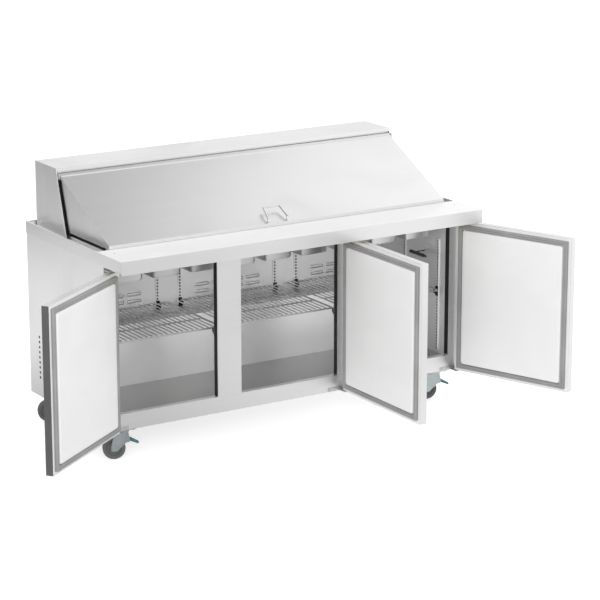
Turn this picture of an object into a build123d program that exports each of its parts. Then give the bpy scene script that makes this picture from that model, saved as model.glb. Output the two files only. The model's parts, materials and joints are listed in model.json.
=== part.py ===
from build123d import *
import math
import os

# Refrigerated prep table with three doors, a sloped lid over the pan well and a rear hood.
# +X is the right-hand side, the doors face -Y, +Z is up. Millimetres.

# Overall
width = 1780.0
depth = 864.0
counter_z = 896.0
sheet = 1.5
origin_x = -127.3
origin_y = 211.5

# Counter top
rim_height = 52.0
apron_height = 58.0
ledge_depth = 212.0
recess_z = 873.0
rim_hem = 6.0

# Cabinet shell
side_x = 888.0
frame_y = 158.0
back_y = 861.0
shell_z0 = 136.0
shell_z1 = 844.0
frame_sheet = 2.0
frame_return = 28.0
rail_top = 207.0
header_bottom = 794.0
mullion_half = 57.5
mullion_x = 300.0
stile_x = 830.0

# Cavity
cavity_x = 829.0
floor_z = 200.0
step_y = 528.0
step_z = 470.0
cavity_back_y = 764.0
cavity_top = 871.5
liner_sheet = 1.0
machine_y = 560.0
machine_z = 440.0

# Doors
door_width = 584.0
door_z0 = 142.0
door_z1 = 828.0
door_skin = 1.2
door_body = 32.0
door_total = 46.0
door_pivot_edge = 14.0
door_pivot_face = 13.0
gasket_margin = 14.0
gasket_width = 22.0
pivot_y = frame_y - 0.5 - (door_total - door_pivot_face)
pivot_r = 5.0
running_gap = 0.05
door_pivots = {"left": -872.0, "middle": 278.0, "right": 872.0}
door_hand = {"left": -1, "middle": 1, "right": 1}
door_open = {"left": -144.4, "middle": 90.0, "right": 111.0}

# Pan well
pan_pitch_x = 181.0
pan_pitch_y = 165.0
pan_columns = 9
pan_rows = 3
pan_first_y = 309.0
pan_length = 176.0
pan_width = 162.0
pan_top = 882.0
pan_bottom = 736.0
pan_sheet = 0.8
well_x_in = 804.0
well_x_out = 830.0
well_y_in = 236.0
well_y_out = 712.0

# Lid
lid_x = 833.0
lid_front_z = 911.0
lid_top_y = 625.0
lid_top_z = 1118.0
lid_strip_y = 648.0
lid_strip_z = 1134.0
lid_bottom = 896.4
lid_pivot_y = 641.0
lid_pivot_z = 1122.0
lid_pin_r = 4.0
lid_core_thick = 27.5

# Hood
hood_x = 842.0
hood_top = 1156.0
hood_lip_y = 657.0
hood_lip_z = 1141.0
hood_foot_y = 576.0

# Casters
caster_x = 790.0
caster_front_y = 205.0
caster_rear_y = 812.0
caster_trail = 38.0
caster_angle = 157.0
wheel_r = 48.0
wheel_width = 27.0
axle_r = 5.0
kingpin_r = 7.0
pedal_x = 20.0
pedal_z = 84.0
pedal_pin_r = 2.5

# Shelves
shelf_z = 494.0
shelf_y0 = 218.0
shelf_y1 = 676.0
shelf_half = 260.0
shelf_bays = 22
standard_width = 17.0
standard_pitch = 14.0
duct_y = 684.0
air_slot_near = 170.0
air_slot_far = 253.0
air_slot_half = 37.0
air_slot_rim = 9.5
air_slot_gap = 7.0
air_slot_z = (522, 553)
shelf_wire_r = 2.6
shelf_centres = [-562.0, 0.0, 562.0]


def block(x0, x1, y0, y1, z0, z1):
    centre = Pos((x0 + x1) / 2, (y0 + y1) / 2, (z0 + z1) / 2)
    return centre * Box(x1 - x0, y1 - y0, z1 - z0)


def prism_x(points, x0, x1):
    outline = Plane.YZ * make_face(Polyline(*points, close=True))
    return Pos(x0, 0, 0) * extrude(outline, amount=x1 - x0)


def rod_x(x0, x1, y, z, radius):
    return Pos((x0 + x1) / 2, y, z) * Rot(0, 90, 0) * Cylinder(radius, x1 - x0)


def rod_y(x, y0, y1, z, radius):
    return Pos(x, (y0 + y1) / 2, z) * Rot(90, 0, 0) * Cylinder(radius, y1 - y0)


def rod_z(x, y, z0, z1, radius):
    return Pos(x, y, (z0 + z1) / 2) * Cylinder(radius, z1 - z0)


def mirrored(shape):
    return mirror(shape, about=Plane.YZ)


def both_sides(shape):
    return [shape, mirrored(shape)]


# Counter top: one folded sheet with a front ledge, apron, side rims and a sunk well floor
def counter_top():
    half = width / 2
    low = counter_z - rim_height
    top = block(-half, half, 0, ledge_depth, counter_z - sheet, counter_z)
    top += block(-half, half, 0, sheet, counter_z - apron_height, counter_z)
    top += block(-half, half, 0, 24, counter_z - apron_height, counter_z - apron_height + sheet)
    top += block(-half, half, ledge_depth - sheet, ledge_depth, recess_z - sheet, counter_z)
    for sign in (-1, 1):
        edge = sorted((sign * half, sign * (half - sheet)))
        hem = sorted((sign * half, sign * (half - rim_hem)))
        top += block(edge[0], edge[1], 0, depth, low, counter_z)
        top += block(hem[0], hem[1], ledge_depth - sheet, depth, counter_z - sheet, counter_z)
    top += block(-half, half, depth - sheet, depth, low, counter_z)
    top += block(-half, half, depth - rim_hem, depth, counter_z - sheet, counter_z)
    floor = block(-half, half, ledge_depth - sheet, depth, recess_z - sheet, recess_z)
    well = block(-well_x_in, well_x_in, well_y_in, well_y_out, recess_z - 5, recess_z + 5)
    return [top + (floor - well)]


def board_pins():
    pin = rod_z(843.7, 145.7, counter_z, counter_z + 3, 2.5)
    return both_sides(pin)


def well_frame():
    outer = block(-well_x_out, well_x_out, 216, 736, recess_z, pan_top)
    inner = block(-well_x_in, well_x_in, well_y_in, well_y_out, recess_z - 1, pan_top + 1)
    return [outer - inner]


def divider_bars():
    bars = []
    for i in range(pan_columns - 1):
        x = (i - (pan_columns - 2) / 2) * pan_pitch_x
        bars.append(block(x - 8, x + 8, well_y_in, well_y_out, pan_top - 6, pan_top))
    return bars


def food_pan():
    outer = loft([
        Pos(0, 0, pan_bottom) * RectangleRounded(134, 120, 24),
        Pos(0, 0, pan_top) * RectangleRounded(157, 143, 16),
    ])
    inner = loft([
        Pos(0, 0, pan_bottom + pan_sheet) * RectangleRounded(132.5, 118.5, 23.2),
        Pos(0, 0, pan_top + 2) * RectangleRounded(155.6, 141.6, 15.2),
    ])
    flange = Pos(0, 0, pan_top + 0.5) * extrude(RectangleRounded(pan_length, pan_width, 6), amount=0.5, both=True)
    return outer + flange - inner


def food_pans():
    one = food_pan()
    pans = []
    for row in range(pan_rows):
        for column in range(pan_columns):
            x = (column - (pan_columns - 1) / 2) * pan_pitch_x
            y = pan_first_y + row * pan_pitch_y
            pans.append(Pos(x, y, 0) * one)
    return pans


# Cabinet shell
def side_panel(with_hand):
    x0 = side_x - sheet
    panel = block(x0, side_x, frame_y, back_y, shell_z0, shell_z1)
    panel += block(x0 - 12, side_x, back_y - sheet, back_y, shell_z0, shell_z1)
    holes = []
    for column_y in (735.6, 767.1):
        for i in range(9):
            z = 222.5 + i * 22.6 + (0.8 if column_y < 750 else 0)
            holes.append(rod_x(x0 - 1, side_x + 1, column_y, z, 4.5))
    panel = panel - holes
    return [panel if with_hand > 0 else mirrored(panel)]


def back_panel():
    plate = block(-side_x, side_x, back_y, back_y + sheet, shell_z0, shell_z1)
    slots = []
    for row in range(10):
        for column in range(8):
            x = -760 + column * 60
            z = 175 + row * 22
            slots.append(block(x, x + 44, back_y - 2, back_y + 4, z, z + 6))
    inlet = rod_y(560, back_y - 2, back_y + 4, 240, 14)
    return [plate - slots - inlet]


def base_pan():
    inner_x = side_x - sheet
    return [block(-inner_x, inner_x, frame_y + frame_sheet, back_y - sheet, shell_z0, shell_z0 + 2.5)]


def liner_outline(grow):
    return [
        (frame_y + frame_sheet + frame_return, floor_z - grow),
        (step_y + grow, floor_z - grow),
        (step_y + grow, step_z - grow),
        (cavity_back_y + grow, step_z - grow),
        (cavity_back_y + grow, cavity_top),
        (frame_y + frame_sheet + frame_return, cavity_top),
    ]


def inner_liner():
    outer = prism_x(liner_outline(liner_sheet), -cavity_x - liner_sheet, cavity_x + liner_sheet)
    hollow = prism_x(liner_outline(0), -cavity_x, cavity_x)
    return [outer - hollow]


def insulation():
    inner_x = side_x - sheet
    y0 = frame_y + frame_sheet + frame_return
    foam = block(-inner_x, inner_x, y0, back_y - sheet, shell_z0 + 2.5, shell_z1)
    foam += block(-inner_x, inner_x, y0, back_y - sheet, shell_z1, recess_z - sheet)
    foam -= block(inner_x - 12, inner_x + 1, back_y - 2 * sheet, back_y, shell_z0, shell_z1 + 40)
    foam -= block(-inner_x - 1, -inner_x + 12, back_y - 2 * sheet, back_y, shell_z0, shell_z1 + 40)
    foam -= prism_x(liner_outline(liner_sheet), -cavity_x - liner_sheet, cavity_x + liner_sheet)
    foam -= block(-inner_x - 1, inner_x + 1, machine_y, back_y + 5, shell_z0, machine_z)
    foam -= block(-well_x_in, well_x_in, well_y_in, well_y_out, cavity_top - 1, recess_z + 5)
    ledge = block(-888, 888, sheet + 0.5, frame_y - 1, counter_z - 50, counter_z - sheet)
    hood_back = depth - 8 - sheet
    hood = prism_x([(662.5, hood_top - sheet), (662.5, 1136), (834, 1136), (834, 876),
                    (hood_back, 876), (hood_back, hood_top - sheet)], -838, 838)
    return [foam, ledge, hood]


def bottom_rail():
    x = side_x - sheet
    face = block(-x, x, frame_y, frame_y + frame_sheet, shell_z0, rail_top)
    face += block(-x, x, frame_y, frame_y + frame_return, rail_top - sheet, rail_top)
    face += block(-x, x, frame_y, frame_y + frame_return, shell_z0 + 2.5, shell_z0 + 4)
    face -= block(-x - 1, x + 1, frame_y + frame_sheet, frame_y + 60, shell_z0 - 1, shell_z0 + 2.5)
    return [face]


def header_rail():
    x = side_x - sheet
    face = block(-x, x, frame_y, frame_y + frame_sheet, header_bottom, counter_z - 26)
    face += block(-x, x, frame_y, frame_y + frame_return, header_bottom, header_bottom + sheet)
    return [face]


def corner_stiles():
    x = side_x - sheet
    face = block(stile_x, x, frame_y, frame_y + frame_sheet, rail_top, header_bottom)
    face += block(stile_x, stile_x + sheet, frame_y, frame_y + frame_return, rail_top, header_bottom)
    return both_sides(face)


def mullions():
    x0 = mullion_x - mullion_half
    x1 = mullion_x + mullion_half
    y1 = frame_y + frame_return + 4
    post = block(x0, x1, frame_y, y1, rail_top, header_bottom)
    post -= block(x0 + sheet, x1 - sheet, frame_y + frame_sheet, y1 - sheet, rail_top - 1, header_bottom + 1)
    for side in ((x0 - 1, x0 + sheet), (x1 - sheet, x1 + 1)):
        post -= block(side[0], side[1], frame_y + 4, y1 - 2, rail_top - 1, header_bottom + 1)
    return both_sides(post)


def breaker_strips():
    y0 = frame_y + 4
    y1 = frame_y + frame_return + 2
    strips = []
    for edge in (mullion_x - mullion_half, mullion_x + mullion_half - sheet):
        strips.append(block(edge, edge + sheet, y0, y1, rail_top, header_bottom))
    stile = block(stile_x - sheet, stile_x, y0 - 2, frame_y + frame_return, rail_top + 2, header_bottom - 2)
    strips.append(stile)
    parts = []
    for strip in strips:
        parts += both_sides(strip)
    y2 = frame_y + frame_return
    y3 = frame_y + frame_sheet + frame_return
    parts.append(block(-stile_x, stile_x, y2, y3, floor_z, rail_top - 0.5))
    parts.append(block(-cavity_x, cavity_x, y2 + 4, y3 + 4, header_bottom + 0.5, header_bottom + 12))
    return parts


# Hood over the rear of the pans
def hood_sheet():
    side = [(depth - 8, recess_z), (depth - 8, hood_top), (hood_lip_y, hood_top),
            (hood_lip_y, hood_lip_z), (hood_foot_y, recess_z)]
    outer = prism_x(side, -hood_x, hood_x)
    inner = [(depth - 8 - sheet, recess_z - 1), (depth - 8 - sheet, hood_top - sheet),
             (hood_lip_y + sheet, hood_top - sheet), (hood_lip_y + sheet, hood_lip_z),
             (hood_lip_y - 200, hood_lip_z), (hood_lip_y - 200, recess_z - 1)]
    return [outer - prism_x(inner, -hood_x + sheet, hood_x - sheet)]


def hood_baffle():
    return [block(-834, 834, 658.5, 660, 1100, hood_top - sheet)]


def hood_front(z):
    return hood_foot_y + (z - recess_z) * (hood_lip_y - hood_foot_y) / (hood_lip_z - recess_z)


def hood_seals():
    z0 = 884.0
    z1 = 1106.0
    strip = prism_x([(hood_front(z0) - 10, z0), (hood_front(z0) + 12, z0),
                     (hood_front(z1) + 12, z1), (hood_front(z1) - 10, z1)], 834.4, hood_x - sheet)
    return both_sides(strip)


def lid_hinge_brackets():
    x0 = 834.4
    x1 = hood_x - sheet
    plate = block(x0, x1, 633, 690, 1112, 1134)
    plate += rod_x(lid_x - 3.5, x1, lid_pivot_y, lid_pivot_z, lid_pin_r)
    return both_sides(plate)


# Lid
def lid_shell():
    skin = [(ledge_depth, lid_bottom), (ledge_depth, lid_front_z), (lid_top_y, lid_top_z),
            (lid_strip_y, lid_strip_z), (651, lid_pivot_z), (lid_pivot_y, 1111), (630, 1108), (566, lid_bottom)]
    inner_z = lid_strip_z - sheet * 1.4
    hollow = [(ledge_depth + sheet, lid_bottom - 60), (ledge_depth + sheet, lid_front_z - sheet * 0.8),
              (lid_top_y + 0.4, lid_top_z - sheet * 1.4), (lid_strip_y + 0.5, inner_z),
              (700, inner_z), (700, lid_bottom - 60)]
    ear = rod_x(-lid_x, lid_x, lid_pivot_y, lid_pivot_z, 10)
    body = prism_x(skin, -lid_x, lid_x) + ear
    body -= prism_x(hollow, -lid_x + sheet, lid_x - sheet)
    body -= rod_x(-lid_x - 5, lid_x + 5, lid_pivot_y, lid_pivot_z, lid_pin_r + running_gap)
    return [body]


def lid_core():
    rise = (lid_top_z - lid_front_z) / (lid_top_y - ledge_depth)
    y0 = ledge_depth + 14
    y1 = lid_top_y - 6
    clear = sheet * 1.8
    top0 = lid_front_z + (y0 - ledge_depth) * rise - clear
    top1 = lid_front_z + (y1 - ledge_depth) * rise - clear
    core = prism_x([(y0, top0), (y1, top1), (y1, top1 - lid_core_thick), (y0, top0 - lid_core_thick)],
                   -lid_x + sheet, lid_x - sheet)
    return [core]


def lid_handle():
    rise = math.atan2(lid_top_z - lid_front_z, lid_top_y - ledge_depth)
    foot = 222.0
    x0 = -70.0
    x1 = 26.0
    foot_z = lid_front_z + (foot - ledge_depth) * math.tan(rise)
    wire = 3.5
    along = (math.cos(rise), math.sin(rise))
    lift = (-math.sin(rise), math.cos(rise))
    path = Polyline(
        (x0, foot, foot_z),
        (x0, foot + 14 * lift[0] + 6 * along[0], foot_z + 14 * lift[1] + 6 * along[1]),
        (x0 + 8, foot + 22 * lift[0] + 70 * along[0], foot_z + 22 * lift[1] + 70 * along[1]),
        (x1 - 8, foot + 22 * lift[0] + 70 * along[0], foot_z + 22 * lift[1] + 70 * along[1]),
        (x1, foot + 14 * lift[0] + 6 * along[0], foot_z + 14 * lift[1] + 6 * along[1]),
        (x1, foot, foot_z),
    )
    bar = sweep(Plane(origin=path @ 0, z_dir=path % 0) * Circle(wire), path=path, transition=Transition.ROUND)
    return [bar]


# Doors, built closed about the hinge pivot with the free edge towards -X
def place_door(name, shape):
    if door_hand[name] < 0:
        shape = mirrored(shape)
    return Pos(door_pivots[name], pivot_y, 0) * Rot(0, 0, door_open[name]) * shape


def door_skin_tray():
    x0 = door_pivot_edge - door_width
    x1 = door_pivot_edge
    y0 = -door_pivot_face
    y1 = y0 + door_body
    t = door_skin
    tray = block(x0, x1, y0, y1, door_z0, door_z1)
    tray -= block(x0 + t, x1 - t, y0 + t, y1 + 1, door_z0 + t, door_z1 - t)
    tray += block(x0 + 20 - t, x0 + 46 + t, y0, y0 + 17, 560 - t, 690 + t)
    tray -= block(x0 + 20, x0 + 46, y0 - 1, y0 + 17 - t, 560, 690)
    tray -= rod_z(0, 0, door_z0 - 5, door_z1 + 5, pivot_r + running_gap)
    return tray


def door_core():
    x0 = door_pivot_edge - door_width
    x1 = door_pivot_edge
    y0 = -door_pivot_face
    y1 = y0 + door_body
    t = door_skin
    inset = gasket_margin + gasket_width
    core = block(x0 + t, x1 - t, y0 + t, y1, door_z0 + t, door_z1 - t)
    core -= block(x0 + 20 - t, x0 + 46 + t, y0, y0 + 17, 560 - t, 690 + t)
    core += block(x0 + inset, x1 - inset, y1, y0 + door_total, door_z0 + inset, door_z1 - inset)
    core -= rod_z(0, 0, door_z0 - 5, door_z0 + 22, pivot_r + running_gap)
    core -= rod_z(0, 0, door_z1 - 22, door_z1 + 5, pivot_r + running_gap)
    return core


def gasket_ring(outer, inner, y0, y1):
    x0 = door_pivot_edge - door_width
    x1 = door_pivot_edge
    ring = block(x0 + outer, x1 - outer, y0, y1, door_z0 + outer, door_z1 - outer)
    return ring - block(x0 + inner, x1 - inner, y0 - 1, y1 + 1, door_z0 + inner, door_z1 - inner)


def door_gasket():
    y0 = door_body - door_pivot_face
    y1 = door_total - door_pivot_face
    ring = gasket_ring(gasket_margin, gasket_margin + gasket_width, y0, y1)
    ring -= gasket_ring(gasket_margin + 6, gasket_margin + 8.5, y1 - 2, y1 + 1)
    ring -= gasket_ring(gasket_margin + 14, gasket_margin + 16.5, y1 - 2, y1 + 1)
    ring -= gasket_ring(gasket_margin - 1, gasket_margin + 3, y0 + 4, y0 + 7)
    return ring


def door_bracket():
    y1 = frame_y - pivot_y
    low = block(-84, 12, y1 - 3, y1, 138, 154)
    low += block(-26, 12, -9, y1, 138, 141)
    low += rod_z(0, 0, 138, 160, pivot_r)
    high = block(-84, 12, y1 - 3, y1, 816, 832)
    high += block(-26, 12, -9, y1, 829, 832)
    high += rod_z(0, 0, 810, 832, pivot_r)
    return [low, high]


def door_brackets():
    parts = []
    for name in door_pivots:
        for piece in door_bracket():
            shaped = mirrored(piece) if door_hand[name] < 0 else piece
            parts.append(Pos(door_pivots[name], pivot_y, 0) * shaped)
    return parts


# Screws share one shape: a low domed head
def screw_head():
    return Cylinder(4.0, 1.6, align=(Align.CENTER, Align.CENTER, Align.MIN)) + Pos(0, 0, 1.6) * Cone(
        4.0, 2.4, 1.0, align=(Align.CENTER, Align.CENTER, Align.MIN))


def panel_screws():
    head = screw_head()
    places = []
    for y, z in ((667, 1130), (618, 921), (595, 888), (840, 1135)):
        places.append(Pos(hood_x, y, z) * Rot(0, 90, 0))
        places.append(Pos(-hood_x, y, z) * Rot(0, -90, 0))
    for x in (-820, -410, 0, 410, 820):
        for z in (1134, 985, 917):
            places.append(Pos(x, depth - 8, z) * Rot(-90, 0, 0))
    for x in (-860, -430, 0, 430, 860):
        for z in (160, 500, 820):
            places.append(Pos(x, back_y + sheet, z) * Rot(-90, 0, 0))
    for name in door_pivots:
        for offset in (-74, -44):
            x = door_pivots[name] + door_hand[name] * offset
            for z in (146, 824):
                places.append(Pos(x, frame_y - 3, z) * Rot(90, 0, 0))
    return [place * head for place in places]


# Shelving
def wire_shelf():
    y0 = shelf_y0
    y1 = shelf_y1
    span = shelf_half
    wires = []
    for x in (-span + 3, span - 3):
        wires.append(rod_y(x, y0, y1, shelf_z, 3))
    for y in (y0 + 3, y0 + 150, y0 + 305, y1 - 3):
        wires.append(rod_x(-span + 0.5, span - 0.5, y, shelf_z, 3))
    for i in range(1, shelf_bays):
        x = -span + 3 + i * (2 * span - 6) / shelf_bays
        wires.append(rod_y(x, y0 + 0.5, y1 - 0.5, shelf_z + 4.4, shelf_wire_r))
    shelf = wires[0]
    for wire in wires[1:]:
        shelf += wire
    return shelf


def wire_shelves():
    one = wire_shelf()
    return [Pos(x, 0, 0) * one for x in shelf_centres]


def standard(height):
    base = (Align.CENTER, Align.MIN, Align.MIN)
    strip = Box(standard_width, 5, height, align=base)
    strip -= Pos(0, 1.2, -1) * Box(standard_width - 3, 5, height + 2, align=base)
    slots = []
    for i in range(int(height / standard_pitch)):
        slots.append(Pos(0, -1, 5 + i * standard_pitch) * Box(8, 4, 8, align=base))
    return strip - slots


def shelf_standards():
    rear = standard(250)
    side = standard(510)
    parts = []
    for x in (-356, -244, 244, 356):
        parts.append(Pos(x, duct_y - 5, 480) * rear)
    for x in (-345, -255, 255, 345):
        parts.append(Pos(x, frame_y + frame_return + 9, 215) * Rot(0, 0, 180) * side)
    for y in (240, 500):
        parts.append(Pos(cavity_x - 5, y, 215) * Rot(0, 0, -90) * side)
        parts.append(Pos(-cavity_x + 5, y, 215) * Rot(0, 0, 90) * side)
    return parts


def shelf_clips():
    clips = []
    z0 = shelf_z - 15
    z1 = shelf_z - 3
    front = block(-8, 8, frame_y + frame_return + 9, 230, z0, z1)
    rear = block(-8, 8, 650, duct_y - 5, z0, z1)
    for x in (-345, -255, 255, 345):
        clips.append(Pos(x, 0, 0) * front)
    for x in (-356, -244, 244, 356):
        clips.append(Pos(x, 0, 0) * rear)
    for y in (240, 500):
        clips += both_sides(block(800, cavity_x - 5, y - 8, y + 8, z0, z1))
    return clips


def thermometer():
    tube = rod_y(790, 300, 400, 640, 8)
    tip = rod_y(790, 282, 300, 640, 5)
    bracket = block(788, cavity_x, 346, 354, 646, 650)
    bracket += block(786, 794, 346, 354, 644, 650)
    return [tube + tip + bracket]


# Evaporator behind the duct panel
def air_slot(x, z, half_height, y0, y1):
    reach = air_slot_half - air_slot_rim
    middle = block(x - reach, x + reach, y0, y1, z - half_height, z + half_height)
    ends = rod_y(x - reach, y0, y1, z, half_height) + rod_y(x + reach, y0, y1, z, half_height)
    return middle + ends


def duct_panel():
    plate = block(-828, 828, duct_y, duct_y + sheet, step_z, 730)
    cuts = []
    for centre in (-mullion_x, mullion_x):
        for offset in (-air_slot_far, -air_slot_near, air_slot_near, air_slot_far):
            for z in air_slot_z:
                plate += air_slot(centre + offset, z, air_slot_rim, duct_y - 2, duct_y)
                cuts.append(air_slot(centre + offset, z, air_slot_gap, duct_y - 3, duct_y + 3))
    for x in (-690, 690):
        for i in range(12):
            arm = Pos(0, 0, 48) * Box(7, 10, 44)
            cuts.append(Pos(x, 685, 600) * Rot(0, i * 30, 0) * arm)
    return [plate - cuts]


def fin_stack(length, height, thick, count, tube_rows):
    stack = None
    for i in range(count):
        x = (i + 0.5) * length / count - length / 2
        fin = Pos(x, 0, 0) * Box(1.0, thick, height)
        stack = fin if stack is None else stack + fin
    for row in range(tube_rows):
        z = (row + 0.5) * height / tube_rows - height / 2
        for y in (-thick / 4, thick / 4):
            stack += Pos(0, y, z) * Rot(0, 90, 0) * Cylinder(4, length + 16)
    return stack


def evaporator_coil():
    stack = fin_stack(960, 150, 46, 48, 3)
    trough = block(-500, 500, 700, 762, 476, 478) + block(-500, 500, 700, 702, 476, 490)
    return [Pos(0, 731, 590) * stack, trough]


def fan_rotor(radius, hub_r, blades, pitch, depth_x):
    rotor = Rot(0, 90, 0) * Cylinder(hub_r, depth_x)
    for i in range(blades):
        reach = radius - hub_r + 4
        blade = Pos(0, 0, hub_r - 4 + reach / 2) * Rot(0, 0, pitch) * Box(2, radius * 0.55, reach)
        rotor += Rot(i * 360 / blades, 0, 0) * blade
    return rotor


def evaporator_fan_motors():
    motor = rod_y(0, 722, 762, 600, 24)
    motor += block(-60, 60, 756, 758, 594, 606)
    motor += rod_y(0, 715.3, 722, 600, 4)
    return [Pos(x, 0, 0) * motor for x in (-690, 690)]


def evaporator_blade(x):
    rotor = Rot(0, 0, 90) * fan_rotor(72, 18, 5, 24, 16)
    placed = Pos(x, 707, 600) * rotor
    return [placed]


# Machine compartment
def compressor():
    x = -380.0
    y = 712.0
    dome = Pos(x, y, 250) * Cylinder(88, 130)
    dome += Pos(x, y, 315) * scale(Sphere(88), (1, 1, 0.5))
    dome += Pos(x, y, 185) * scale(Sphere(88), (1, 1, 0.4))
    feet = block(x - 120, x + 120, y - 30, y + 30, 158, 162)
    feet += block(x - 30, x + 30, y - 110, y + 110, 158, 162)
    body = dome + feet
    parts = [body]
    for dx in (-108, 108):
        parts.append(rod_z(x + dx, y, shell_z0 + 2.5, 158, 12))
    parts.append(block(x + 88.5, x + 122, y - 34, y + 34, 220, 290))
    return parts


def condenser_coil():
    stack = fin_stack(230, 230, 60, 30, 6)
    ends = Pos(-118, 0, 0) * Box(2, 70, 262) + Pos(118, 0, 0) * Box(2, 70, 262)
    placed = Pos(-800, 712, 270) * Rot(0, 0, 90) * (stack + ends)
    return [placed]


def condenser_fan_motor():
    x = -742.0
    plate = block(x, x + 2, 592, 832, shell_z0 + 2.5, 402)
    plate -= rod_x(x - 1, x + 3, 712, 270, 116)
    motor = rod_x(x + 48, x + 108, 712, 270, 36)
    motor += rod_x(x + 42.3, x + 48, 712, 270, 5)
    for angle in (45, 135, 225, 315):
        foot_y = 712 + 119 * math.cos(math.radians(angle))
        foot_z = 270 + 119 * math.sin(math.radians(angle))
        motor += rod_x(x, x + 78, foot_y, foot_z, 3)
        arm = Pos(x + 76, 712, 270) * Rot(angle, 0, 0) * (Pos(0, 60, 0) * Box(4, 122, 8))
        motor += arm
    return [plate + motor]


def condenser_blade():
    return [Pos(-718, 712, 270) * fan_rotor(108, 26, 5, 24, 36)]


def tube_run(points, radius):
    path = Polyline(*points)
    return sweep(Plane(origin=path @ 0, z_dir=path % 0) * Circle(radius), path=path, transition=Transition.ROUND)


def refrigerant_lines():
    suction = tube_run([(-440, 790, 300), (-440, 836, 300), (-440, 836, 420), (-60, 836, 420), (-60, 836, 439)], 5)
    discharge = tube_run([(-340, 632, 250), (-340, 606, 250), (-340, 606, 180), (-560, 606, 180)], 3.5)
    liquid = tube_run([(-30, 760, 200), (40, 760, 200), (40, 760, 439)], 3.5)
    drier = rod_x(-140, -30, 760, 200, 12)
    feed = tube_run([(-140, 760, 200), (-220, 760, 200), (-220, 760, 150), (-250, 760, 150)], 3.5)
    return [suction, discharge, liquid + drier + feed]


def control_box():
    case = block(420, 640, 640, 820, shell_z0 + 2.5, 330)
    case -= block(422, 638, 642, 818, 160, 328)
    board = block(440, 620, 660, 800, 190, 192)
    gland = rod_y(560, 820, back_y + sheet + 6, 240, 13)
    gland += rod_y(560, back_y + sheet, back_y + sheet + 6, 240, 18)
    gland -= rod_y(560, 850, back_y + sheet + 10, 240, 7)
    posts = [rod_z(450, 670, 160, 190, 3), rod_z(610, 790, 160, 190, 3)]
    return [case, board, gland] + posts


# Casters, built with the wheel trailing towards -X from the kingpin
def caster_place(x, y):
    return Pos(x, y, 0) * Rot(0, 0, caster_angle - 180)


def caster_positions():
    return {
        "front_left": (-caster_x, caster_front_y),
        "front_right": (caster_x, caster_front_y),
        "rear_left": (-caster_x, caster_rear_y),
        "rear_right": (caster_x, caster_rear_y),
    }


def caster_plates():
    parts = []
    for x, y in caster_positions().values():
        plate = block(x - 42, x + 42, y - 42, y + 42, shell_z0 - 4, shell_z0)
        plate += rod_z(x, y, shell_z0 - 26, shell_z0 - 4, kingpin_r)
        plate += rod_z(x, y, shell_z0 - 7.5, shell_z0 - 4, 24)
        for sx in (-1, 1):
            for sy in (-1, 1):
                bolt = rod_z(x + sx * 32, y + sy * 32, shell_z0 - 8, shell_z0 - 4, 5.5)
                plate += bolt
        parts.append(plate)
    return parts


def caster_fork():
    crown_top = shell_z0 - 8.2
    gap = wheel_width / 2 + 1.5
    plate_t = 3.0
    crown = Cylinder(26, 10, align=(Align.CENTER, Align.CENTER, Align.MAX))
    crown = Pos(0, 0, crown_top) * crown
    crown += block(-36, 22, -gap - plate_t, gap + plate_t, crown_top - 14, crown_top - 10)
    cheek = Plane.XZ * make_face(Polyline(
        (-36, crown_top - 10), (22, crown_top - 10), (27, pedal_z + 6), (27, pedal_z - 8),
        (12, pedal_z - 12), (-26, wheel_r - 12), (-caster_trail - 12, wheel_r - 12),
        (-caster_trail - 12, wheel_r + 10), close=True))
    for sign in (-1, 1):
        y = sign * (gap + plate_t / 2)
        crown += Pos(0, y, 0) * extrude(cheek, amount=plate_t / 2, both=True)
    crown += rod_y(-caster_trail, -gap - plate_t - 4, gap + plate_t + 4, wheel_r, axle_r)
    crown += rod_y(pedal_x, -gap - plate_t, gap + plate_t, pedal_z, pedal_pin_r)
    crown -= rod_z(0, 0, crown_top - 30, crown_top + 5, kingpin_r + running_gap)
    return crown


def caster_wheel():
    half = wheel_width / 2
    profile = Plane.XZ * make_face(Polyline(
        (axle_r + running_gap, -half), (16, -half), (18, -half + 4), (wheel_r - 12, -half + 4),
        (wheel_r - 9, -half), (wheel_r - 3, -half), (wheel_r, -half + 3), (wheel_r, half - 3),
        (wheel_r - 3, half), (wheel_r - 9, half), (wheel_r - 12, half - 4), (18, half - 4),
        (16, half), (axle_r + running_gap, half), close=True))
    disc = revolve(profile, Axis.Z)
    return Pos(-caster_trail, 0, wheel_r) * Rot(90, 0, 0) * disc


def caster_pedal():
    z = pedal_z + 2
    lever = Plane.XZ * make_face(Polyline(
        (13, z - 8), (26, z - 8), (62, z - 22), (66, z - 17), (32, z + 2), (20, z + 6), (13, z + 4), close=True))
    pedal = extrude(lever, amount=11, both=True)
    pedal -= rod_y(pedal_x, -20, 20, pedal_z, pedal_pin_r + running_gap)
    return pedal


def caster_parts():
    nodes = {}
    for name, (x, y) in caster_positions().items():
        place = caster_place(x, y)
        nodes["caster_fork_" + name] = [place * caster_fork()]
        nodes["caster_wheel_" + name] = [place * caster_wheel()]
        if name.startswith("front"):
            nodes["brake_pedal_" + name] = [place * caster_pedal()]
    return nodes


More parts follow.
